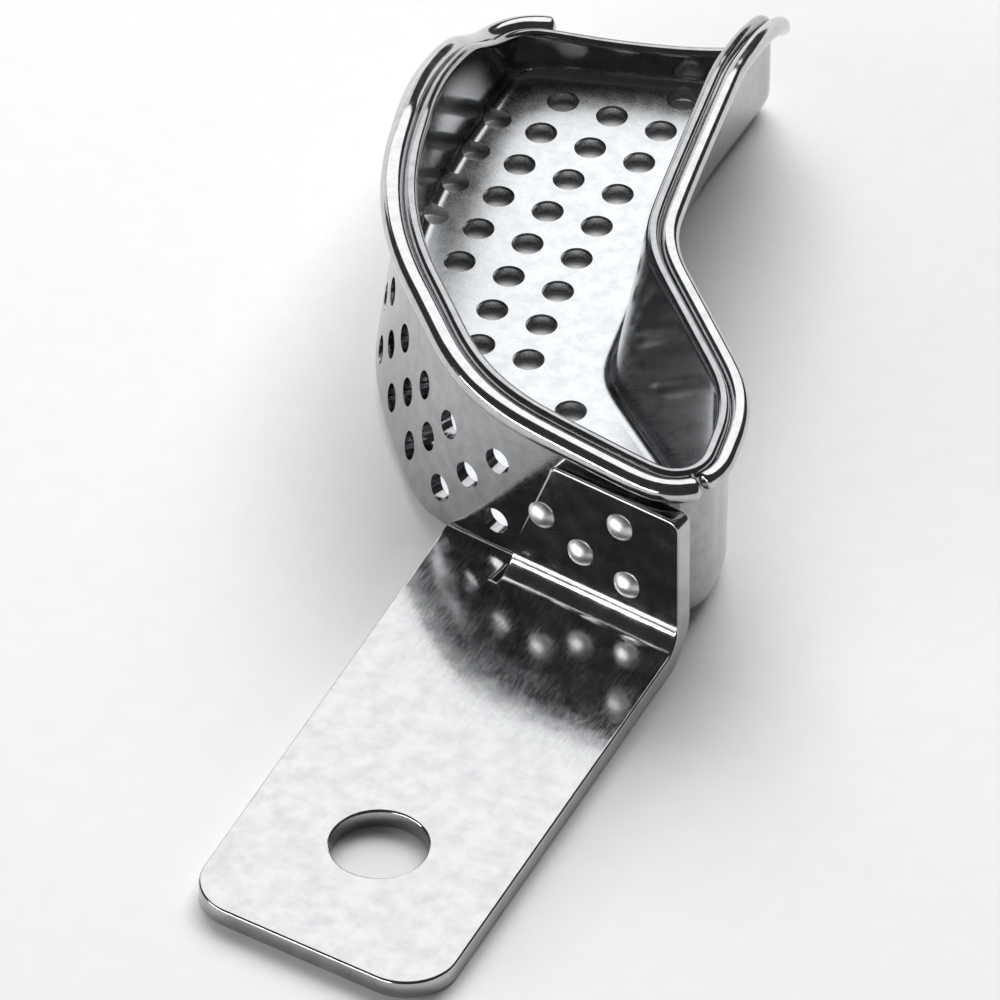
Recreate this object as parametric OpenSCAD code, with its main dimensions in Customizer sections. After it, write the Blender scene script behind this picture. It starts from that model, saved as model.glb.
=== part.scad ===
// Perforated quadrant impression tray: pressed bowl, two rim wires, riveted strap handle.
// Millimetres. Z is up, Z = 0 is the resting plane. The handle runs along Y and the
// origin is the centre of the hole in the handle, on the resting plane.

/* [Sheet metal] */
// Thickness of the bowl's sheet
bowl_t = 0.9; // [0.6:0.1:1.2]
// Thickness of the handle's strap
handle_t = 1.5; // [1:0.1:2]

/* [Handle] */
// Width of the strap
handle_w = 19.8; // [16:0.2:20]
// Distance from the hole to the free end
handle_end = 11.6; // [9:0.2:16]
// Slant of the free end, in degrees
end_slant = 8; // [0:1:10]
// Radius of the free end's corners
end_r = 3.8; // [1:0.2:6]
// Diameter of the hole
hole_d = 6.8; // [4:0.2:9]
// Radius inside the strap's upward bend
bend_r = 1.8; // [1:0.1:2.2]
// Height of the upturned tab's top edge
tab_top = 12.2; // [11:0.1:12.4]

/* [Bowl] */
// Rounding between floor and wall, outside
foot_r = 1.8; // [1.5:0.1:2.6]
// Distance from the hole to the front wall, along Y
front_y = 30.6; // [28:0.2:33]
// Slant of the front wall, in degrees
front_slant = 10; // [6:1:12]
// Height of the low lip at the back
lip_h = 4; // [3:0.1:5]

/* [Rim wires] */
// Diameter of the cheek side wire
cheek_wire_d = 1.7; // [1.2:0.1:2]
// Diameter of the tongue side wire
tongue_wire_d = 1.3; // [1:0.1:1.6]

/* [Perforations] */
// Diameter of each perforation
perf_d = 2; // [1.2:0.1:2.4]
// Distance between perforations across the tray
pitch_x = 3.75; // [3.4:0.05:4.2]
// Distance between perforations along the tray
pitch_y = 3.7; // [3.4:0.05:4.2]

/* [Rivets] */
// Diameter of a rivet's head
rivet_head_d = 2.1; // [1.8:0.1:2.6]
// Diameter of a rivet's shank
rivet_shank_d = 1.2; // [0.8:0.1:1.4]

/* [Hidden] */
eps = 0.02;
// The cheek side wall's perforations: how many in a row, the lowest row's height, and how
// far past the start of the front wall the last one is.
wall_perfs = 5;
wall_perf_z = 3.7;
wall_perf_past = 2.8;
// Points in each corner's arc and in each straight run of an outline.
arc_steps = 6;
run_steps = 6;
slope = tan(front_slant);
half_w = handle_w / 2;

// Corners of the wall's foot, clockwise from the back left: x, y, rounding radius.
foot_corners = [
    [-27.2, 78.8, 2.6],
    [-27.1, 63.4, 50],
    [-22.0, 44.4, 28],
    [-12.9, 32.4, 10],
    [9.9, front_y - 9.9 * slope, 3.6],
    [8.9, 38.8, 9],
    [-5.9, 51.4, 5],
    [-9.3, 71.0, 40],
    [-8.6, 84.4, 1.6]
];
// Corners of the wall's top edge: x, y, radius, height where the arc starts and where it
// ends, and how late the height changes on the way to the next corner (1 is evenly).
rim_corners = [
    [-26.6, 78.7, 4.4, lip_h + 0.5, 6, 1],
    [-25.6, 64.0, 50, 10.4, 14.4, 1],
    [-20.5, 45.9, 30, 15.2, 15.9, 1],
    [-7.4, front_y + 7.4 * slope, 15, 15.9, 15.1, 1],
    [10.7, front_y - 10.7 * slope, 2.8, 14.5, 14.5, 1],
    [9.1, 38.6, 11, 14.6, 14.7, 1],
    [-3.2, 51.1, 11, 14.9, 14.9, 1.3],
    [-7.4, 72.5, 40, 13.1, 12.6, 1.3],
    [-8.8, 84.3, 1.6, 9.2, lip_h, 8]
];
corner_count = len(foot_corners);
ring_count = corner_count * (arc_steps + run_steps);
front_corner = 4 * (arc_steps + run_steps);
back_corner = 8 * (arc_steps + run_steps);

// ---- rounded outlines ----
function unit(v) = v / norm(v);
function xy(p) = [p[0], p[1]];
function wrap(i) = (i + ring_count) % ring_count;
function corner(c, i) = c[(i + corner_count) % corner_count];
function heading(c, i) = unit(xy(corner(c, i + 1)) - xy(corner(c, i)));
// Sine of the turn at a corner: positive where the outline turns inwards, the usual case.
function turn(c, i) = cross(heading(c, i - 1), heading(c, i));
// A corner moved inwards, so that both of its sides move in by the same distance.
function inset_corner(c, i, inset) =
    let (a = heading(c, i - 1), b = heading(c, i))
    xy(corner(c, i)) + inset * (b - a) / cross(a, b);
// Points of one corner's arc, then of the straight run to the next corner's arc.
function corner_arc(c, i, inset) =
    let (a = heading(c, i - 1), b = heading(c, i), side = sign(cross(a, b)),
         r = max(0.3, corner(c, i)[2] - side * inset),
         half = acos(min(1, a * b)) / 2,
         start = inset_corner(c, i, inset) - a * r * tan(half),
         centre = start + side * r * [-a[1], a[0]])
    [for (k = [0 : arc_steps])
        let (w = side * 2 * half * k / arc_steps, d = start - centre)
        centre + [d[0] * cos(w) - d[1] * sin(w), d[0] * sin(w) + d[1] * cos(w)]];
function outline(c, inset) =
    [for (i = [0 : corner_count - 1])
        let (arc = corner_arc(c, i, inset), next = corner_arc(c, i + 1, inset))
        each concat(arc, [for (k = [1 : run_steps - 1])
            arc[arc_steps] + (next[0] - arc[arc_steps]) * k / run_steps])];
// Height of the top edge at each point, before and after smoothing.
raw_h = [for (i = [0 : corner_count - 1])
    let (c = rim_corners[i], n = corner(rim_corners, i + 1))
    each concat([for (k = [0 : arc_steps]) c[3] + (c[4] - c[3]) * k / arc_steps],
                [for (k = [1 : run_steps - 1]) c[4] + (n[3] - c[4]) * pow(k / run_steps, c[5])])];
rim_h = [for (i = [0 : ring_count - 1])
    (raw_h[wrap(i - 1)] + 2 * raw_h[i] + raw_h[wrap(i + 1)]) / 4];
foot = outline(foot_corners, 0);
rim = outline(rim_corners, 0);
// A ring of the wall: the foot's outline moved in by inset, leaning out to reach the rim.
function wall_ring(inset, z) =
    let (base = outline(foot_corners, inset))
    [for (i = [0 : ring_count - 1])
        let (p = base[i] + (rim[i] - foot[i]) * min(1, z / rim_h[i])) [p[0], p[1], z]];
function top_ring(inset) =
    let (edge = outline(rim_corners, inset))
    [for (i = [0 : ring_count - 1]) [edge[i][0], edge[i][1], rim_h[i]]];

// Distance along the outline from its first point to point i, and the place at a distance.
run_to = [for (i = 0, d = 0; i < ring_count; d = d + norm(foot[wrap(i + 1)] - foot[i]), i = i + 1) d];
function point_before(s) = max([for (i = [0 : ring_count - 1]) if (run_to[i] <= s) i]);
function foot_at(s) =
    let (i = point_before(s), d = unit(foot[wrap(i + 1)] - foot[i]))
    [foot[i] + d * (s - run_to[i]), atan2(d[1], d[0])];

// ---- solids swept through rings of points ----
module ring_solid(rings) {
    n = len(rings[0]);
    last = (len(rings) - 1) * n;
    // A bent outline is closed by triangles that run from side to side.
    cap = [for (i = [0 : n / 2 - 2]) each [[i, i + 1, n - 1 - i], [i + 1, n - 2 - i, n - 1 - i]]];
    side_faces = [for (j = [0 : len(rings) - 2], i = [0 : n - 1])
        let (a = j * n + i, b = j * n + (i + 1) % n)
        each [[a, a + n, b], [b, a + n, b + n]]];
    polyhedron(points = [for (r = rings) each r],
               faces = concat(side_faces, cap, [for (f = cap) [last + f[2], last + f[1], last + f[0]]]));
}
// A round wire outside the rim, from one point of the outline to another.
module rim_wire(first, last, d) {
    edge = outline(rim_corners, -d / 2 - eps);
    path = [for (i = [first : last])
        [edge[wrap(i)][0], edge[wrap(i)][1], rim_h[wrap(i)] - d / 2]];
    n = len(path);
    ring_solid([for (i = [0 : n - 1])
        let (along = unit(path[min(n - 1, i + 1)] - path[max(0, i - 1)]),
             across = unit(cross(along, [0, 0, 1])), up = cross(across, along))
        [for (a = [30 : 30 : 360]) path[i] + d / 2 * (cos(a) * across + sin(a) * up)]]);
}

// ---- placing on the front wall ----
// The frame of the front wall: X along it, Y into the bowl, and the wall's outside at Y = 0.
module on_front_wall(x, z) {
    translate([x, front_y - x * slope, z]) rotate([0, 0, -front_slant]) children();
}

module perforations() {
    // The rows curve towards the front of the jaw.
    for (row = [-1 : 8], column = [0 : 5]) {
        y = 50.6 + row * pitch_y;
        x = -25.6 + column * pitch_x + 2 * exp(-(y - 50.6) / 8) + (column == 0 ? 0.4 : 0);
        inside = y > 49 && y < 82.5 && column < 4 && (y > 58 || column > 0)
            && (y > 55 || column > 1) && !(row == 8 && column < 3) && !(row == 7 && column == 0)
            || row == 0 && column == 2 || row == -1 && column == 4;
        if (inside)
            translate([x, y, -1]) cylinder(d = perf_d, h = 3, $fn = 24);
    }
    // Staggered rows in the cheek side wall, square to the wall.
    last = run_to[front_corner - run_steps] + wall_perf_past;
    step = pitch_y * sqrt(2);
    for (level = [0 : 2], i = [0 : wall_perfs - 1]) {
        place = foot_at(last - (i + (level == 1 ? 0.5 : 0)) * step);
        translate([place[0][0], place[0][1], wall_perf_z + level * step / 2])
            rotate([0, 0, place[1]]) rotate([-90, 0, 0])
            cylinder(d = perf_d, h = 6, center = true, $fn = 24);
    }
}

module tray_bowl() {
    floor_top = bowl_t;
    inner_r = foot_r - bowl_t + 0.1;
    outside = [for (a = [0 : 30 : 90])
        wall_ring(foot_r * (1 - sin(a)), foot_r * (1 - cos(a)))];
    inside = [for (a = [90 : -30 : 0])
        wall_ring(bowl_t + inner_r * (1 - sin(a)), floor_top + inner_r * (1 - cos(a)))];
    color([0.78, 0.79, 0.8])
    difference() {
        ring_solid(concat(outside, [top_ring(0), top_ring(bowl_t)], inside));
        perforations();
        rivet_shanks(rivet_shank_d);
    }
}

module cheek_rim_wire() {
    color([0.85, 0.86, 0.87]) rim_wire(1, front_corner + 3, cheek_wire_d);
}

module tongue_rim_wire() {
    color([0.82, 0.83, 0.84])
    rim_wire(front_corner + 4, back_corner + 1, tongue_wire_d);
}

module strap_outline() {
    drop = half_w * tan(end_slant);
    // Each free corner's arc is tangent to the strap's side and to its slanted end.
    corner_l = end_r * tan((90 + end_slant) / 2);
    corner_r = end_r * tan((90 - end_slant) / 2);
    left = [-half_w + end_r, -handle_end + drop + corner_r];
    right = [half_w - end_r, -handle_end - drop + corner_l];
    difference() {
        polygon(concat(
            [for (a = [180 : 6 : 270 - end_slant]) left + end_r * [cos(a), sin(a)]],
            [for (a = [270 - end_slant : 6 : 360]) right + end_r * [cos(a), sin(a)]],
            [[half_w, front_y], [-half_w, front_y + 8]]));
        circle(d = hole_d, $fn = 64);
    }
}

module handle() {
    gap = 2 * eps;
    reach = 40;
    color([0.88, 0.89, 0.9])
    difference() {
        union() {
            // The flat strap, cut off along the front wall.
            difference() {
                linear_extrude(handle_t) strap_outline();
                on_front_wall(0, 0) translate([-reach, -handle_t - bend_r - gap, -1])
                    cube([2 * reach, reach, 5]);
            }
            // The bend and the upturned tab, trimmed to the strap's width.
            intersection() {
                on_front_wall(0, 0) rotate([90, 0, 90]) linear_extrude(2 * reach, center = true)
                    strap_profile(gap);
                translate([-half_w, 0, 0]) cube([handle_w, reach, 20]);
                on_front_wall(0, 0) rotate([90, 0, 0]) linear_extrude(20, center = true)
                    polygon([[-4.4, -1], [-4.4, bend_r + handle_t], [-1.3, tab_top],
                             [reach, tab_top], [reach, -1]]);
            }
            // The flat shoulder beside the tab, under the curve of the bowl.
            intersection() {
                translate([-half_w, 0, 0]) cube([handle_w, reach, handle_t]);
                on_front_wall(0, 0) translate([-reach, -handle_t - bend_r - gap - eps, 0])
                    cube([reach - 4.6, handle_t + bend_r - 0.2, handle_t]);
            }
        }
        rivet_shanks(rivet_shank_d);
    }
}

// The strap seen from its edge: the quarter bend, then the tab standing against the wall.
module strap_profile(gap) {
    translate([-handle_t - bend_r - gap, 0]) {
        intersection() {
            translate([0, bend_r + handle_t]) difference() {
                circle(r = bend_r + handle_t, $fn = 64);
                circle(r = bend_r, $fn = 64);
            }
            translate([-eps, 0]) square(bend_r + handle_t + eps);
        }
        translate([bend_r, bend_r + handle_t - eps]) square([handle_t, tab_top]);
    }
}

// Rivet places on the tab: distance along the wall and height.
rivet_places = [[-1.2, 7.5], [2.0, 5.7], [5.2, 9.6], [5.8, 4.7]];

module rivet_shanks(d) {
    for (p = rivet_places)
        on_front_wall(p[0], p[1]) rotate([-90, 0, 0])
        translate([0, 0, -5]) cylinder(d = d, h = 10, $fn = 32);
}

module rivet(place) {
    head_h = 0.6;
    tail_h = 0.4;
    ball_r = (pow(rivet_head_d / 2, 2) + pow(head_h, 2)) / (2 * head_h);
    color([0.92, 0.92, 0.93])
    on_front_wall(place[0], place[1]) rotate([-90, 0, 0]) {
        translate([0, 0, -handle_t - 3 * eps - head_h])
            intersection() {
                translate([0, 0, ball_r]) sphere(r = ball_r, $fn = 48);
                cylinder(d = 2 * rivet_head_d, h = head_h, $fn = 48);
            }
        translate([0, 0, -handle_t - 4 * eps])
            cylinder(d = rivet_shank_d - eps, h = handle_t + bowl_t + 6 * eps, $fn = 32);
        translate([0, 0, bowl_t + eps])
            cylinder(d = rivet_head_d - 0.3, h = tail_h, $fn = 32);
    }
}

module rivet_upper_left() { rivet(rivet_places[0]); }
module rivet_lower_left() { rivet(rivet_places[1]); }
module rivet_upper_right() { rivet(rivet_places[2]); }
module rivet_lower_right() { rivet(rivet_places[3]); }

tray_bowl();
cheek_rim_wire();
tongue_rim_wire();
handle();
rivet_upper_left();
rivet_lower_left();
rivet_upper_right();
rivet_lower_right();
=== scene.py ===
"""Looks of a perforated quadrant impression tray in polished stainless steel.

Lengths are in millimetres up to the moment a mesh is made, and in metres after that. Z is up,
the tray rests on Z = 0, and Y runs along the handle from its hole towards the bowl.
"""
import math

import bmesh
import bpy
from mathutils import Matrix, Vector


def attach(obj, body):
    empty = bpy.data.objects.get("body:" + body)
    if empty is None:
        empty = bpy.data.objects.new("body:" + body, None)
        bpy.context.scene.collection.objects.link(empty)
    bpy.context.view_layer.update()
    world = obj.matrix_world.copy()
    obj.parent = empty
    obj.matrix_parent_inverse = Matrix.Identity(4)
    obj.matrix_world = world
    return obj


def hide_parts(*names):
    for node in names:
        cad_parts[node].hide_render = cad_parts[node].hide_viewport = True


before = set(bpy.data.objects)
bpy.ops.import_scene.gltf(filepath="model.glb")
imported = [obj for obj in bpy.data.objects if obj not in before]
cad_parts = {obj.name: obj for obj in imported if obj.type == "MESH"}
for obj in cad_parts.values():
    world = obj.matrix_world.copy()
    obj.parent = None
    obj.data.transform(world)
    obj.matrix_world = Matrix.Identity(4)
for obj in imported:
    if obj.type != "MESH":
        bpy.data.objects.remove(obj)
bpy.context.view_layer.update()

MM = 0.001

# ---------------------------------------------------------------- sizes, in millimetres
BOWL_T = 0.9
HANDLE_T = 1.5
HANDLE_W = 19.8
HANDLE_END = 11.6
END_SLANT = math.radians(8)
END_R = 3.8
HOLE_D = 6.8
BEND_R = 1.8
TAB_TOP = 12.2
FOOT_R = 1.8
INNER_FOOT_R = FOOT_R - BOWL_T + 0.1
LIP_R = BOWL_T / 2
FRONT_Y = 30.6
FRONT_SLANT = math.radians(10)
FRONT_SLOPE = math.tan(FRONT_SLANT)
LIP_H = 4
CHEEK_WIRE_D = 1.7
TONGUE_WIRE_D = 1.3
PERF_D = 2.0
PITCH_X = 3.75
PITCH_Y = 3.7
COLUMN_SHIFT = 0.4
RIVET_HEAD_D = 2.1
RIVET_HEAD_H = 0.6
RIVET_SHANK_R = 0.59
RIVET_TAIL_H = 0.4
RIVET_TAIL_R = RIVET_HEAD_D / 2 - 0.15
# Air between pieces that touch.
TOUCH = 0.02
HOLE_CHAMFER = 0.12
EDGE_ROUND = 0.22
QUARTER_TURN = math.pi / 2

# Corners of the wall's foot, from the back of the cheek side round the front: x, y, radius.
FOOT_CORNERS = [
    (-27.2, 78.8, 2.6),
    (-27.1, 63.4, 50),
    (-22.0, 44.4, 28),
    (-12.9, 32.4, 10),
    (9.9, FRONT_Y - 9.9 * FRONT_SLOPE, 3.6),
    (8.9, 38.8, 9),
    (-5.9, 51.4, 5),
    (-9.3, 71.0, 40),
    (-8.6, 84.4, 1.6),
]
# Corners of the top edge: x, y, radius, height at the arc's start and end, lateness of change.
RIM_CORNERS = [
    (-26.6, 78.7, 4.4, 4.5, 6, 1),
    (-25.6, 64.0, 50, 10.4, 14.4, 1),
    (-20.5, 45.9, 30, 15.2, 15.9, 1),
    (-7.4, FRONT_Y + 7.4 * FRONT_SLOPE, 15, 15.9, 15.1, 1),
    (10.7, FRONT_Y - 10.7 * FRONT_SLOPE, 2.8, 14.5, 14.5, 1),
    (9.1, 38.6, 11, 14.6, 14.7, 1),
    (-3.2, 51.1, 11, 14.9, 14.9, 1.3),
    (-7.4, 72.5, 40, 13.1, 12.6, 1.3),
    (-8.8, 84.3, 1.6, 9.2, LIP_H, 8),
]
CORNERS = len(FOOT_CORNERS)
# The wires: steps past a corner where they end at the back and where the thin one starts,
# their sides, and their rounded ends: how domed they are, and the dome's steps.
WIRE_BACK = 3
TONGUE_WIRE_PAST = 12
WIRE_SIDES = 28
WIRE_DOME = 0.6
WIRE_DOME_ANGLES = [math.radians(t) for t in (15, 30, 50, 70, 85)]
ARC_STEPS = 18
RUN_STEPS = 22
RING = CORNERS * (ARC_STEPS + RUN_STEPS)
FRONT_CORNER = 4 * (ARC_STEPS + RUN_STEPS)
BACK_CORNER = 8 * (ARC_STEPS + RUN_STEPS)
WALL_STEPS = 24
FILLET_STEPS = 10
LIP_STEPS = 8
RIVET_SIDES = 40
RIVET_DOME_STEPS = 12
RIVET_TAIL_STEPS = 6
# Drills: sides, and how far they reach past the sheet, up the floor's fillet and either way
# through the leaning wall.
DRILL_SIDES = 40
DRILL_PAST = 0.6
FILLET_DRILL_TOP = BOWL_T + 0.9
WALL_DRILL_OUT = 1.5
WALL_DRILL_IN = 2.5
# Passes that ease the change between a straight run and an arc, so reflections flow.
EASING = 14

# The floor's perforations: the first one's place, and how its rows bow towards the tongue.
FLOOR_X = -25.6
FLOOR_Y = 50.6
FLOOR_BOW = 2
FLOOR_BOW_LENGTH = 8
# The cheek side wall's perforations.
WALL_PERFS = 5
WALL_PERF_Z = 3.7
WALL_PERF_PAST = 2.8
# Rivet places on the tab: distance along the front wall, and height.
RIVETS = {
    "rivet_upper_left": (-1.2, 7.5),
    "rivet_lower_left": (2.0, 5.7),
    "rivet_upper_right": (5.2, 9.6),
    "rivet_lower_right": (5.8, 4.7),
}


# ---------------------------------------------------------------- rounded outlines
def corner(corners, i):
    """Corner i of an outline, counted round and round."""
    return corners[i % len(corners)]


def spot(c):
    """The plan position of a corner."""
    return Vector((c[0], c[1]))


def heading(corners, i):
    """Unit direction from corner i to the next one."""
    return (spot(corner(corners, i + 1)) - spot(corner(corners, i))).normalized()


def inset_corner(corners, i, inset):
    """Corner i after both of its sides have moved inwards by inset."""
    a = heading(corners, i - 1)
    b = heading(corners, i)
    return spot(corner(corners, i)) + inset * (b - a) / a.cross(b)


def corner_arc(corners, i, inset):
    """Points of the arc that rounds corner i."""
    a = heading(corners, i - 1)
    b = heading(corners, i)
    side = math.copysign(1, a.cross(b))
    radius = max(0.3, corner(corners, i)[2] - side * inset)
    half = math.acos(min(1, a.dot(b))) / 2
    start = inset_corner(corners, i, inset) - a * radius * math.tan(half)
    centre = start + side * radius * Vector((-a.y, a.x))
    arc = []
    for k in range(ARC_STEPS + 1):
        turn = Matrix.Rotation(side * 2 * half * k / ARC_STEPS, 2)
        arc.append(centre + turn @ (start - centre))
    return arc


def outline(corners, inset):
    """A closed outline: each corner's arc, then the straight run to the next one."""
    arcs = [corner_arc(corners, i, inset) for i in range(CORNERS)]
    points = []
    for i, arc in enumerate(arcs):
        points.extend(arc)
        goal = corner(arcs, i + 1)[0]
        for k in range(1, RUN_STEPS):
            points.append(arc[-1].lerp(goal, k / RUN_STEPS))
    return smoothed(points, EASING)


def rim_heights():
    """Height of the top edge at each point of the outline."""
    heights = []
    for i in range(CORNERS):
        c = RIM_CORNERS[i]
        goal = corner(RIM_CORNERS, i + 1)[3]
        for k in range(ARC_STEPS + 1):
            heights.append(c[3] + (c[4] - c[3]) * k / ARC_STEPS)
        for k in range(1, RUN_STEPS):
            heights.append(c[4] + (goal - c[4]) * (k / RUN_STEPS) ** c[5])
    return heights


def smoothed(values, passes):
    """A closed list of numbers or points, with each value eased towards its neighbours."""
    count = len(values)
    for _ in range(passes):
        values = [
            (values[i - 1] + 2 * values[i] + values[(i + 1) % count]) / 4
            for i in range(count)
        ]
    return values


FOOT = outline(FOOT_CORNERS, 0)
RIM = outline(RIM_CORNERS, 0)
RIM_H = smoothed(rim_heights(), 60)


def wall_ring(inset, heights):
    """One ring of the bowl, leaning from the foot's outline to the rim's as it rises."""
    base = outline(FOOT_CORNERS, inset)
    ring = []
    for i, z in enumerate(heights):
        lean = (RIM[i] - FOOT[i]) * min(1, z / RIM_H[i])
        ring.append(Vector((base[i].x + lean.x, base[i].y + lean.y, z)))
    return ring


def rising(low, share):
    """Heights of a ring that is a share of the way from a low level to the lip."""
    return [low + (h - LIP_R - low) * share for h in RIM_H]


def fillet_ring(level, radius, k):
    """Step k of the fillet from a flat floor at a level into the wall above it."""
    a = QUARTER_TURN * k / FILLET_STEPS
    inset = level + radius * (1 - math.sin(a))
    return wall_ring(inset, [level + radius * (1 - math.cos(a))] * RING)


# ---------------------------------------------------------------- meshes
def new_piece(name, mesh):
    """An object for a mesh whose points are in millimetres."""
    mesh.transform(Matrix.Scale(MM, 4))
    piece = bpy.data.objects.new(name, mesh)
    bpy.context.scene.collection.objects.link(piece)
    return piece


def skin(rings):
    """A closed mesh through rings of points, capped at its first and last rings."""
    bm = bmesh.new()
    rows = [[bm.verts.new(p) for p in ring] for ring in rings]
    count = len(rows[0])
    for low, high in zip(rows, rows[1:]):
        for i in range(count):
            j = (i + 1) % count
            bm.faces.new((low[i], low[j], high[j], high[i]))
    for row in (rows[0], rows[-1]):
        for i in range(count // 2 - 1):
            bm.faces.new((row[i], row[i + 1], row[count - 2 - i], row[count - 1 - i]))
    bmesh.ops.recalc_face_normals(bm, faces=bm.faces)
    mesh = bpy.data.meshes.new("skin")
    bm.to_mesh(mesh)
    bm.free()
    mesh.shade_smooth()
    return mesh


def bowl_rings():
    """Rings of the pressed bowl: under the floor, up the outside, over, and down the inside."""
    rings = [fillet_ring(0, FOOT_R, k) for k in range(FILLET_STEPS + 1)]
    for k in range(1, WALL_STEPS):
        rings.append(wall_ring(0, rising(FOOT_R, k / WALL_STEPS)))
    for k in range(LIP_STEPS + 1):
        a = math.pi * k / LIP_STEPS
        heights = [h - LIP_R + LIP_R * math.sin(a) for h in RIM_H]
        rings.append(wall_ring(LIP_R * (1 - math.cos(a)), heights))
    for k in range(WALL_STEPS - 1, 0, -1):
        rings.append(wall_ring(BOWL_T, rising(BOWL_T + INNER_FOOT_R, k / WALL_STEPS)))
    for k in range(FILLET_STEPS, -1, -1):
        rings.append(fillet_ring(BOWL_T, INNER_FOOT_R, k))
    return rings


def circle(radius, steps):
    """Points round a circle, as pairs of distances from its centre."""
    turns = (2 * math.pi * k / steps for k in range(steps))
    return [(radius * math.cos(t), radius * math.sin(t)) for t in turns]


def drill(place, low, high, chamfer):
    """A cutter for one hole: a rod with flared collars at the sheet's two faces."""
    r = PERF_D / 2
    wide = r + chamfer
    profile = [
        (wide, low - DRILL_PAST),
        (wide, low),
        (r, low + chamfer),
        (r, high - chamfer),
        (wide, high),
        (wide, high + DRILL_PAST),
    ]
    return [
        [place @ Vector((x, y, z)) for x, y in circle(radius, DRILL_SIDES)]
        for radius, z in profile
    ]


def run_lengths(points):
    """Distance along a closed outline from its first point to each point."""
    lengths = [0]
    for a, b in zip(points, points[1:]):
        lengths.append(lengths[-1] + (b - a).length)
    return lengths


def foot_at(distance, lengths):
    """Place and heading on the foot's outline at a distance along it."""
    i = max(k for k in range(RING) if lengths[k] <= distance)
    along = (FOOT[(i + 1) % RING] - FOOT[i]).normalized()
    return FOOT[i] + along * (distance - lengths[i]), math.atan2(along.y, along.x)


def floor_holes():
    """Plan positions of the floor's perforations, whose rows curve with the jaw. The curved
    wall takes away the pattern's front corner, and the slanted back wall its last row."""
    places = []
    for row in range(-1, 9):
        for column in range(6):
            y = FLOOR_Y + row * PITCH_Y
            bow = FLOOR_BOW * math.exp(-(y - FLOOR_Y) / FLOOR_BOW_LENGTH)
            x = FLOOR_X + column * PITCH_X + bow
            x += 0 if column else COLUMN_SHIFT
            inside = (
                49 < y < 82.5 and column < 4
                and (y > 58 or column > 0) and (y > 55 or column > 1)
                and not (row == 8 and column < 3)
                and (row, column) != (7, 0)
            )
            lone = (row, column) == (-1, 4)
            if inside or lone:
                places.append((x, y, column))
    return places


def all_drills():
    """Cutters for every perforation of the bowl."""
    cutters = []
    for x, y, column in floor_holes():
        place = Matrix.Translation((x, y, 0))
        if column:
            cutters.append(drill(place, 0, BOWL_T, HOLE_CHAMFER))
        else:
            cutters.append(drill(place, 0, FILLET_DRILL_TOP, 0))
    lengths = run_lengths(FOOT)
    last = lengths[FRONT_CORNER - RUN_STEPS] + WALL_PERF_PAST
    step = PITCH_Y * math.sqrt(2)
    for level in range(3):
        for i in range(WALL_PERFS):
            shift = 0.5 if level == 1 else 0
            p, angle = foot_at(last - (i + shift) * step, lengths)
            z = WALL_PERF_Z + level * step / 2
            place = (
                Matrix.Translation((p.x, p.y, z))
                @ Matrix.Rotation(angle, 4, "Z")
                @ Matrix.Rotation(-QUARTER_TURN, 4, "X")
            )
            cutters.append(drill(place, -WALL_DRILL_OUT, WALL_DRILL_IN, 0))
    return cutters


def mesh_from(rings_list, name):
    """One mesh holding several closed skins."""
    bm = bmesh.new()
    for rings in rings_list:
        part = skin(rings)
        bm.from_mesh(part)
        bpy.data.meshes.remove(part)
    mesh = bpy.data.meshes.new(name)
    bm.to_mesh(mesh)
    bm.free()
    return mesh


def apply_modifiers(piece):
    """Turns a piece's modifiers into its mesh."""
    depsgraph = bpy.context.evaluated_depsgraph_get()
    depsgraph.update()
    done = bpy.data.meshes.new_from_object(piece.evaluated_get(depsgraph))
    piece.modifiers.clear()
    piece.data = done


def cut_with_smooth_walls(piece, cutters):
    """Cuts holes in a smooth piece, and keeps its walls' own shading right up to each hole."""
    uncut = piece.copy()
    uncut.data = piece.data.copy()
    uncut.data.materials.clear()
    bpy.context.scene.collection.objects.link(uncut)
    drills = new_piece("drills", mesh_from(cutters, "drills"))
    drills.data.materials.append(HOLE_MARK)
    drills.data.shade_flat()
    cut = piece.modifiers.new("cut", "BOOLEAN")
    cut.operation = "DIFFERENCE"
    cut.solver = "EXACT"
    cut.material_mode = "TRANSFER"
    cut.object = drills
    apply_modifiers(piece)
    own = piece.data.copy()
    carry = piece.modifiers.new("carry", "DATA_TRANSFER")
    carry.object = uncut
    carry.use_loop_data = True
    carry.data_types_loops = {"CUSTOM_NORMAL"}
    carry.loop_mapping = "POLYINTERP_NEAREST"
    apply_modifiers(piece)
    mesh = piece.data
    marked = [m is not None and m.name == HOLE_MARK.name for m in own.materials]
    normals = [Vector(n.vector) for n in mesh.corner_normals]
    for face in mesh.polygons:
        if marked[face.material_index]:
            for loop in face.loop_indices:
                normals[loop] = face.normal.copy()
    mesh.normals_split_custom_set([tuple(n) for n in normals])
    for face in mesh.polygons:
        face.material_index = 0
    while len(mesh.materials) > 1:
        mesh.materials.pop(index=len(mesh.materials) - 1)
    for helper in (uncut, drills):
        bpy.data.objects.remove(helper)


def make_bowl():
    """The pressed bowl with its perforations."""
    piece = new_piece("bowl", skin(bowl_rings()))
    piece.data.materials.append(STEEL_BOWL)
    cut_with_smooth_walls(piece, all_drills())
    return finished(piece, "tray_bowl")


def finished(piece, node):
    """Puts a piece on the tray's one body, in place of its CAD node."""
    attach(piece, "root")
    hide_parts(node)
    return piece


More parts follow.
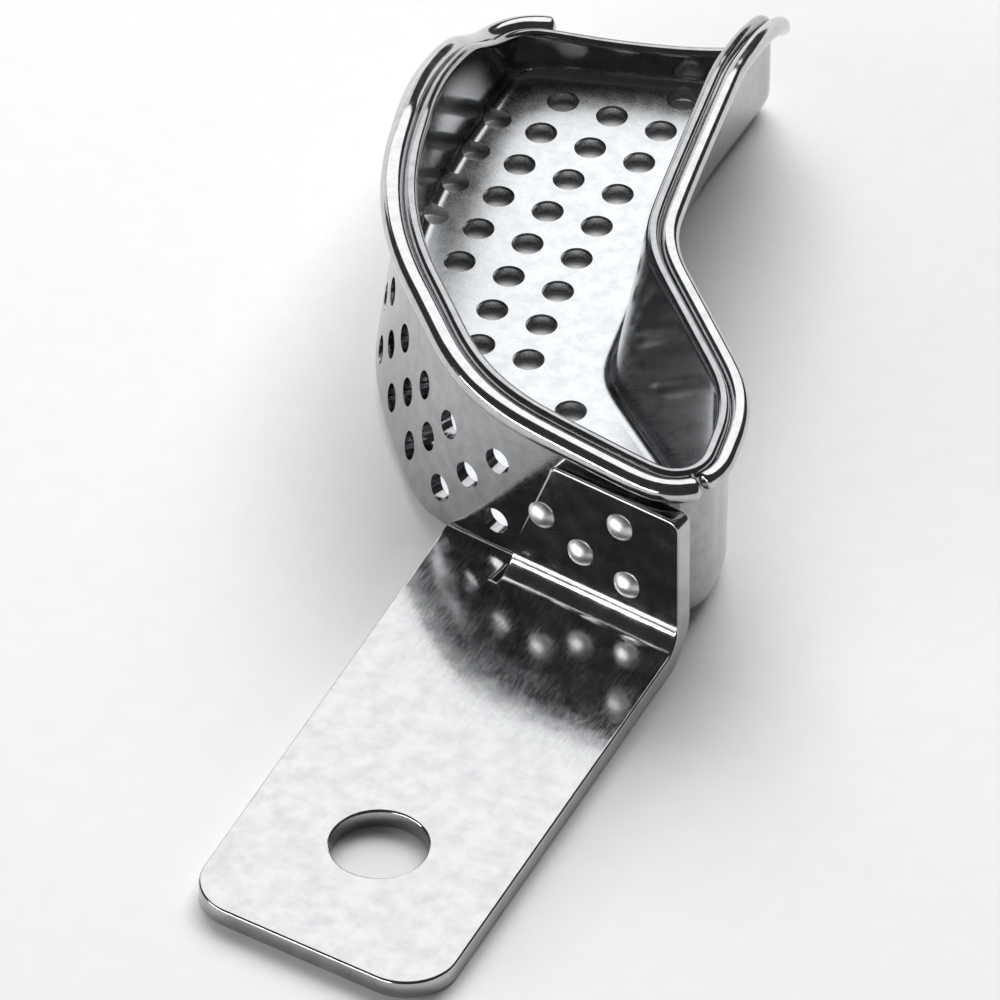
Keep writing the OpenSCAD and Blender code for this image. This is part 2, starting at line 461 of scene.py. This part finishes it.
def wire_rings(first, last, diameter):
    """Rings of a round wire outside the rim, with rounded ends."""
    radius = diameter / 2
    edge = outline(RIM_CORNERS, -radius - TOUCH)
    path = [
        Vector((edge[i % RING].x, edge[i % RING].y, RIM_H[i % RING] - radius))
        for i in range(first, last + 1)
    ]
    rings = []
    end = len(path) - 1
    for i, p in enumerate(path):
        along = (path[min(end, i + 1)] - path[max(0, i - 1)]).normalized()
        across = along.cross(Vector((0, 0, 1))).normalized()
        up = across.cross(along)
        out = {0: -1, end: 1}.get(i, 0) * WIRE_DOME * radius
        dome = [(p + along * out * math.sin(t), radius * math.cos(t)) for t in WIRE_DOME_ANGLES]
        frames = [(p, radius)]
        if i == 0:
            frames = dome[::-1] + frames
        if i == end:
            frames += dome
        for centre, r in frames:
            rings.append([centre + x * across + y * up for x, y in circle(r, WIRE_SIDES)])
    return rings


def make_wire(name, node, first, last, diameter):
    """A rim wire."""
    piece = new_piece(name, skin(wire_rings(first, last, diameter)))
    piece.data.materials.append(STEEL_WIRE)
    return finished(piece, node)


def wall_frame(x, z):
    """The frame of the front wall at a place: X along it and Y into the bowl."""
    place = Matrix.Translation((x, FRONT_Y - x * FRONT_SLOPE, z))
    return place @ Matrix.Rotation(-FRONT_SLANT, 4, "Z")


def lathe(profile, place, steps):
    """Rings of a turned shape: profile gives radius and depth along the place's Y axis."""
    return [
        [place @ Vector((x, depth, z)) for x, z in circle(radius, steps)]
        for radius, depth in profile
    ]


def rivet_profile():
    """Radius and depth of a rivet, from its domed head through the sheet to its tail."""
    head_r = RIVET_HEAD_D / 2
    ball_r = (head_r ** 2 + RIVET_HEAD_H ** 2) / (2 * RIVET_HEAD_H)
    face = -HANDLE_T - 3 * TOUCH
    profile = []
    for k in range(1, RIVET_DOME_STEPS + 1):
        r = head_r * math.sin(QUARTER_TURN * k / RIVET_DOME_STEPS)
        profile.append((r, face - RIVET_HEAD_H + ball_r - math.sqrt(ball_r ** 2 - r ** 2)))
    # The head's underside stands a hair off the tab.
    profile.append((head_r * 0.985, face + 0.02))
    profile.append((RIVET_SHANK_R, face + 0.03))
    back = BOWL_T + TOUCH
    profile.append((RIVET_SHANK_R, back))
    edge_r = RIVET_TAIL_H / 2
    for k in range(RIVET_TAIL_STEPS + 1):
        a = QUARTER_TURN * k / RIVET_TAIL_STEPS
        radius = RIVET_TAIL_R - edge_r * (1 - math.cos(a))
        profile.append((radius, back + edge_r + edge_r * math.sin(a)))
    profile.append((edge_r, back + RIVET_TAIL_H))
    return profile


def make_rivet(node):
    """One rivet, with its dome outside and its upset tail inside the bowl."""
    x, z = RIVETS[node]
    rings = lathe(rivet_profile(), wall_frame(x, z), RIVET_SIDES)
    piece = new_piece("round_head_" + node, skin(rings))
    piece.data.materials.append(STEEL_RIVET)
    piece.data.set_sharp_from_angle(angle=math.radians(50))
    return finished(piece, node)


# ---------------------------------------------------------------- materials
def linear(hex_colour):
    """An sRGB hex colour as linear numbers."""
    channels = []
    for k in (0, 2, 4):
        v = int(hex_colour[k:k + 2], 16) / 255
        channels.append(v / 12.92 if v <= 0.04045 else ((v + 0.055) / 1.055) ** 2.4)
    return (*channels, 1.0)


def add_node(tree, kind, links=None, stops=(), **settings):
    """Adds a node: settings name its properties and sockets, links name sockets to join, and
    stops are the places and colours of a colour ramp."""
    node = tree.nodes.new(kind)
    for key, value in settings.items():
        if hasattr(node, key):
            setattr(node, key, value)
        else:
            node.inputs[key.replace("_", " ")].default_value = value
    for index, (place, colour) in enumerate(stops):
        node.color_ramp.elements[index].position = place
        node.color_ramp.elements[index].color = linear(colour)
    for key, source in (links or {}).items():
        tree.links.new(source, node.inputs[key])
    return node


def polished_steel(name, light, dark, mottle_mm, rough, stretch, bump_um, floor=None):
    """Stainless steel, mechanically polished: a bright metal whose colour and gloss vary a
    little with the buffing. mottle_mm is the size of the cloudy patches that a mop leaves,
    stretch draws the fine lines out along one direction, bump_um is their height. floor is
    a flat floor's finish: its two colours, paler than the walls' as painted light where the floor
    faces the lamps, and its two satin roughnesses."""
    material = bpy.data.materials.new(name)
    material.use_nodes = True
    tree = material.node_tree
    tree.nodes.clear()
    where = add_node(tree, "ShaderNodeTexCoord").outputs["Object"]
    mottle = add_node(
        tree, "ShaderNodeTexNoise", {"Vector": where},
        Scale=1 / (mottle_mm * MM), Detail=4.0, Roughness=0.6).outputs["Fac"]
    stretched = add_node(tree, "ShaderNodeMapping", {"Vector": where}, Scale=stretch)
    lines = add_node(
        tree, "ShaderNodeTexNoise", {"Vector": stretched.outputs["Vector"]},
        Scale=1 / (BUFF_LINE * MM), Detail=2.0).outputs["Fac"]
    both = add_node(
        tree, "ShaderNodeMath", {0: mottle, 1: lines}, operation="MULTIPLY").outputs["Value"]
    colour = add_node(
        tree, "ShaderNodeValToRGB", {"Fac": mottle},
        stops=((0.32, dark), (0.62, light))).outputs["Color"]
    gloss = add_node(
        tree, "ShaderNodeMapRange", {"Value": both},
        From_Min=0.12, From_Max=0.42, To_Min=rough[0], To_Max=rough[1]).outputs["Result"]
    if floor is not None:
        # The floor's two colours are painted light: paler than the walls because the floor faces the
        # lamps. Its two roughnesses are its real satin finish.
        painted_lit_floor_pale, painted_lit_floor_grey, smooth, coarse = floor
        height = add_node(tree, "ShaderNodeSeparateXYZ", {"Vector": where}).outputs["Z"]
        on_floor = add_node(
            tree, "ShaderNodeMapRange", {"Value": height},
            From_Min=SATIN_AND_PAINTED_LIGHT_TOP * MM, From_Max=SATIN_AND_PAINTED_LIGHT_FULL * MM).outputs["Result"]
        painted_lit_floor_colour = add_node(
            tree, "ShaderNodeValToRGB", {"Fac": mottle},
            stops=((0.35, painted_lit_floor_grey), (0.6, painted_lit_floor_pale))).outputs["Color"]
        satin_gloss = add_node(
            tree, "ShaderNodeMapRange", {"Value": both},
            From_Min=0.12, From_Max=0.42, To_Min=smooth, To_Max=coarse).outputs["Result"]
        colour = add_node(
            tree, "ShaderNodeMix", {0: on_floor, 6: colour, 7: painted_lit_floor_colour},
            data_type="RGBA").outputs[2]
        gloss = add_node(
            tree, "ShaderNodeMix", {0: on_floor, 2: gloss, 3: satin_gloss},
            data_type="FLOAT").outputs[0]
    bump = add_node(
        tree, "ShaderNodeBump", {"Height": both},
        Strength=1.0, Distance=bump_um * 1e-6).outputs["Normal"]
    shader = add_node(
        tree, "ShaderNodeBsdfPrincipled",
        {"Base Color": colour, "Roughness": gloss, "Normal": bump}, Metallic=1.0)
    add_node(tree, "ShaderNodeOutputMaterial", {"Surface": shader.outputs["BSDF"]})
    return material


# Buffing lines, in millimetres: really a few hundredths apart, drawn as fine as can be seen.
BUFF_LINE = 0.12
# The satin floor of the bowl, coloured paler as painted light, gives way to the polished wall,
# coloured darker as painted shade, between these heights.
SATIN_AND_PAINTED_LIGHT_FULL = 0.95
SATIN_AND_PAINTED_LIGHT_TOP = 1.15

# Pressed stainless sheet, mirror buffed with a mop: walls that mirror softly and clouded,
#  and a satin floor. The floor's paler colour is painted light, where it faces the lamps, and the
#  walls' darker grey is painted shade.
STEEL_BOWL = polished_steel(
    "stainless_sheet_pressed_and_buffed",
    light="a8a9ab", dark="98999b", mottle_mm=1.1, rough=(0.08, 0.18), stretch=(1, 1, 1), bump_um=6,
    floor=("ccced0", "bcbec0", 0.24, 0.34))
# Blanked stainless strap, buffed along its length: a clear mirror with faint lengthwise lines.
STEEL_HANDLE = polished_steel(
    "stainless_strap_buffed",
    light="bcbdbe", dark="adaeb0", mottle_mm=1.6, rough=(0.08, 0.2), stretch=(1, 0.15, 1), bump_um=5)
# Drawn stainless wire, buffed in place: the brightest piece, with sharp long highlights.
STEEL_WIRE = polished_steel(
    "stainless_wire_drawn_and_buffed",
    light="c6c7c8", dark="b6b7b9", mottle_mm=0.9, rough=(0.07, 0.16), stretch=(1, 1, 1), bump_um=3)
# Peened stainless rivets: satin domes with one broad highlight each, coloured near-white as a
# painted highlight, far paler than the rest of the steel.
STEEL_RIVET = polished_steel(
    "stainless_rivet_peened_satin",
    light="f2f2f2", dark="e2e2e2", mottle_mm=0.6, rough=(0.4, 0.46), stretch=(1, 1, 1), bump_um=4)
# Marks the drills' faces while the bowl is cut; no piece keeps it.
HOLE_MARK = bpy.data.materials.new("hole_mark")


# ---------------------------------------------------------------- handle
def handle_blank():
    """The strap before bending: its outline, flat, with the tab still in line with it."""
    half = HANDLE_W / 2
    end = 3 * QUARTER_TURN - END_SLANT
    points = []
    for side, first, last in ((-1, math.pi, end), (1, end, 2 * math.pi)):
        reach = END_R * math.tan((QUARTER_TURN + side * END_SLANT) / 2)
        x = side * (half - END_R)
        y = -HANDLE_END - side * half * math.tan(END_SLANT) + reach
        for k in range(END_STEPS + 1):
            t = first + (last - first) * k / END_STEPS
            points.append(Vector((x, y)) + END_R * Vector((math.cos(t), math.sin(t))))
    return points


BEND_LINE_Y = FRONT_Y - (HANDLE_T + BEND_R + 2 * TOUCH) / math.cos(FRONT_SLANT)
BEND_STEPS = 16
END_STEPS = 24
TAB_CORNER_STEPS = 8
HOLE_SIDES = 72
BEND_LENGTH = (BEND_R + HANDLE_T / 2) * QUARTER_TURN
TAB_LENGTH = TAB_TOP - BEND_R - HANDLE_T
TAB_LEFT = -4.3
TAB_LEFT_TOP = -1.3
TAB_CORNER_R = 0.8
SLIT = 0.45
SHOULDER_GAP = 0.22


def along_wall(p):
    """A plan point as distance along the front wall, and distance beyond the bend's start."""
    d = p - Vector((0, BEND_LINE_Y))
    u = Vector((math.cos(FRONT_SLANT), -math.sin(FRONT_SLANT)))
    v = Vector((math.sin(FRONT_SLANT), math.cos(FRONT_SLANT)))
    return d.dot(u), d.dot(v)


def from_wall(u, v):
    """The plan point at a distance along the front wall and beyond the bend's start."""
    return (
        Vector((0, BEND_LINE_Y))
        + u * Vector((math.cos(FRONT_SLANT), -math.sin(FRONT_SLANT)))
        + v * Vector((math.sin(FRONT_SLANT), math.cos(FRONT_SLANT)))
    )


def side_at(x, v):
    """Distance along the front wall where the strap's side at x crosses the line v."""
    return (x - v * math.sin(FRONT_SLANT)) / math.cos(FRONT_SLANT)


def quarter_round(u, v, across, upwards):
    """Points of a rounded corner of the tab, from the side's end to the top's start."""
    points = []
    for k in range(TAB_CORNER_STEPS + 1):
        a = QUARTER_TURN * k / TAB_CORNER_STEPS
        points.append(from_wall(
            u + across * TAB_CORNER_R * (math.cos(a) - 1),
            v + upwards * TAB_CORNER_R * (math.sin(a) - 1),
        ))
    return points


def tab_blank():
    """The far end of the flat blank: the bend, the tab with its leaning left edge, the slit
    beside it and the shoulder."""
    half = HANDLE_W / 2
    far = BEND_LENGTH + TAB_LENGTH
    points = []
    for k in range(BEND_STEPS + 1):
        a = QUARTER_TURN * k / BEND_STEPS
        reach = (BEND_R + HANDLE_T / 2) * math.sin(a)
        points.append(from_wall(side_at(half, reach), BEND_LENGTH * k / BEND_STEPS))
    right = side_at(half, BEND_R + HANDLE_T / 2)
    points.extend(quarter_round(right, far, 1, 1))
    points.extend(reversed(quarter_round(TAB_LEFT_TOP, far, -1, 1)))
    points.append(from_wall(TAB_LEFT, BEND_LENGTH))
    points.append(from_wall(TAB_LEFT, 0))
    shoulder = HANDLE_T + BEND_R - SHOULDER_GAP
    points.append(from_wall(TAB_LEFT - SLIT, 0))
    points.append(from_wall(TAB_LEFT - SLIT, shoulder))
    points.append(from_wall(side_at(-half, shoulder), shoulder))
    return points


def bent(p, height):
    """Where a point of the flat blank, at a height in its thickness, is after bending."""
    u, v = along_wall(p)
    if v <= 1e-4 or u < TAB_LEFT - SLIT / 2:
        return Vector((p.x, p.y, height))
    a = min(v / BEND_LENGTH, 1) * QUARTER_TURN
    outside = BEND_R + HANDLE_T
    radius = outside - height
    foot = from_wall(u, radius * math.sin(a))
    return Vector((foot.x, foot.y, outside - radius * math.cos(a) + max(0, v - BEND_LENGTH)))


def flat_blank():
    """The flat blank as a sheet of faces, with its hole, cut along every bend line."""
    bm = bmesh.new()
    hole = [Vector(p) for p in circle(HOLE_D / 2, HOLE_SIDES)]
    edges = []
    for loop in (handle_blank() + tab_blank(), hole):
        ring = [bm.verts.new((p.x, p.y, 0)) for p in loop]
        edges += [bm.edges.new((a, b)) for a, b in zip(ring, ring[1:] + ring[:1])]
    bmesh.ops.triangle_fill(bm, use_beauty=True, use_dissolve=False, edges=edges)
    forward = Vector((math.sin(FRONT_SLANT), math.cos(FRONT_SLANT), 0))
    for k in range(BEND_STEPS + 1):
        p = from_wall(0, BEND_LENGTH * k / BEND_STEPS)
        everything = bm.verts[:] + bm.edges[:] + bm.faces[:]
        bmesh.ops.bisect_plane(
            bm, geom=everything, plane_co=(p.x, p.y, 0), plane_no=forward, dist=1e-5)
    return bm


def make_handle():
    """The strap: blanked, drilled, bent up along a slanted line, its edges rounded."""
    blank = flat_blank()
    bm = bmesh.new()
    low = {}
    high = {}
    for vert in blank.verts:
        plan = Vector(vert.co[:2])
        low[vert] = bm.verts.new(bent(plan, 0))
        high[vert] = bm.verts.new(bent(plan, HANDLE_T))
    for face in blank.faces:
        bm.faces.new([high[v] for v in face.verts])
        bm.faces.new([low[v] for v in reversed(face.verts)])
    for edge in blank.edges:
        if len(edge.link_faces) == 1:
            a, b = edge.verts
            bm.faces.new((low[a], low[b], high[b], high[a]))
    blank.free()
    bmesh.ops.recalc_face_normals(bm, faces=bm.faces)
    bmesh.ops.dissolve_limit(
        bm, angle_limit=math.radians(0.5), verts=bm.verts, edges=bm.edges)
    mesh = bpy.data.meshes.new("handle")
    bm.to_mesh(mesh)
    bm.free()
    piece = new_piece("strap_handle", mesh)
    edge = piece.modifiers.new("edge", "BEVEL")
    edge.width = EDGE_ROUND * MM
    edge.segments = 4
    edge.limit_method = "ANGLE"
    edge.angle_limit = math.radians(50)
    edge.use_clamp_overlap = False
    apply_modifiers(piece)
    piece.data.shade_smooth()
    weigh = piece.modifiers.new("weigh", "WEIGHTED_NORMAL")
    weigh.weight = 100
    apply_modifiers(piece)
    piece.data.materials.append(STEEL_HANDLE)
    return finished(piece, "handle")


# ---------------------------------------------------------------- the tray
make_bowl()
make_wire(
    "cheek_wire", "cheek_rim_wire", WIRE_BACK, FRONT_CORNER + ARC_STEPS // 2, CHEEK_WIRE_D)
make_wire(
    "tongue_wire", "tongue_rim_wire", FRONT_CORNER + TONGUE_WIRE_PAST, BACK_CORNER + WIRE_BACK,
    TONGUE_WIRE_D)
make_handle()
for rivet_node in RIVETS:
    make_rivet(rivet_node)


# ---------------------------------------------------------------- camera, light, floor
# Metres and degrees: a camera a long way off, whose frame is this wide at the tray.
CAMERA_AZIMUTH = 25
CAMERA_ELEVATION = 41
CAMERA_DISTANCE = 2.6
FRAME_WIDTH = 0.0685
AIM = Vector((-5.9, 32.1, 5.0)) * MM
BOARD_SIZE = 4
BOARD_GRAIN = 2


def direction(azimuth, elevation):
    """Unit direction from the tray: azimuth turns from the front (-Y) to +X."""
    a = math.radians(azimuth)
    e = math.radians(elevation)
    return Vector((math.sin(a) * math.cos(e), -math.cos(a) * math.cos(e), math.sin(e)))


def add_camera():
    """A long lens, in front of the handle and to its right, looking down at the tray."""
    data = bpy.data.cameras.new("camera")
    data.lens = data.sensor_width * CAMERA_DISTANCE / FRAME_WIDTH
    data.clip_start = 0.01
    camera = bpy.data.objects.new("camera", data)
    bpy.context.scene.collection.objects.link(camera)
    away = direction(CAMERA_AZIMUTH, CAMERA_ELEVATION)
    camera.location = AIM + away * CAMERA_DISTANCE
    camera.rotation_euler = away.to_track_quat("Z", "Y").to_euler()
    bpy.context.scene.camera = camera


def add_softbox(name, azimuth, elevation, distance, width, height, radiance, in_reflections=True):
    """A soft rectangular light facing the tray; radiance is how bright its face looks."""
    data = bpy.data.lights.new(name, "AREA")
    data.shape = "RECTANGLE"
    data.size = width
    data.size_y = height
    data.energy = radiance * math.pi * width * height
    lamp = bpy.data.objects.new(name, data)
    bpy.context.scene.collection.objects.link(lamp)
    away = direction(azimuth, elevation)
    lamp.location = AIM + away * distance
    lamp.rotation_euler = away.to_track_quat("Z", "Y").to_euler()
    lamp.visible_glossy = in_reflections
    lamp.visible_camera = False


def add_floor():
    """A plain pale board under the tray, of matt paper grain."""
    bpy.ops.mesh.primitive_plane_add(size=BOARD_SIZE, location=(0, 0, -TOUCH * MM))
    floor = bpy.context.object
    floor.name = "floor"
    material = bpy.data.materials.new("pale_matt_board")
    material.use_nodes = True
    tree = material.node_tree
    shader = tree.nodes["Principled BSDF"]
    where = add_node(tree, "ShaderNodeTexCoord").outputs["Object"]
    grain = add_node(
        tree, "ShaderNodeTexNoise", {"Vector": where}, Scale=1 / (BOARD_GRAIN * MM), Detail=3.0)
    tint = add_node(
        tree, "ShaderNodeValToRGB", {"Fac": grain.outputs["Fac"]},
        stops=((0.0, "e9e9e9"), (1.0, "efefef")))
    tree.links.new(tint.outputs["Color"], shader.inputs["Base Color"])
    shader.inputs["Roughness"].default_value = 0.9
    shader.inputs["Specular IOR Level"].default_value = 0.1
    floor.data.materials.append(material)


def add_world(level):
    """A dim, even room."""
    world = bpy.data.worlds.new("room")
    world.use_nodes = True
    world.node_tree.nodes["Background"].inputs["Color"].default_value = (level, level, level, 1)
    bpy.context.scene.world = world


add_camera()
add_floor()
add_world(0.05)
# The strap and the bowl's floor mirror this one towards the camera.
add_softbox("back_softbox", 205, 46, 0.9, 1.1, 0.9, 1.72)
add_softbox("low_back_softbox", 224, 8, 1.0, 0.8, 0.4, 1.0)
# Long highlights on the wires and the rivets' domes.
add_softbox("low_front_strip", -35, 12, 1.0, 1.3, 0.14, 13)
# Lights the board from behind, so the perforations look dark.
add_softbox("floor_key", 195, 40, 1.4, 1.4, 0.8, 6, in_reflections=False)
bpy.context.scene.view_settings.view_transform = "Standard"
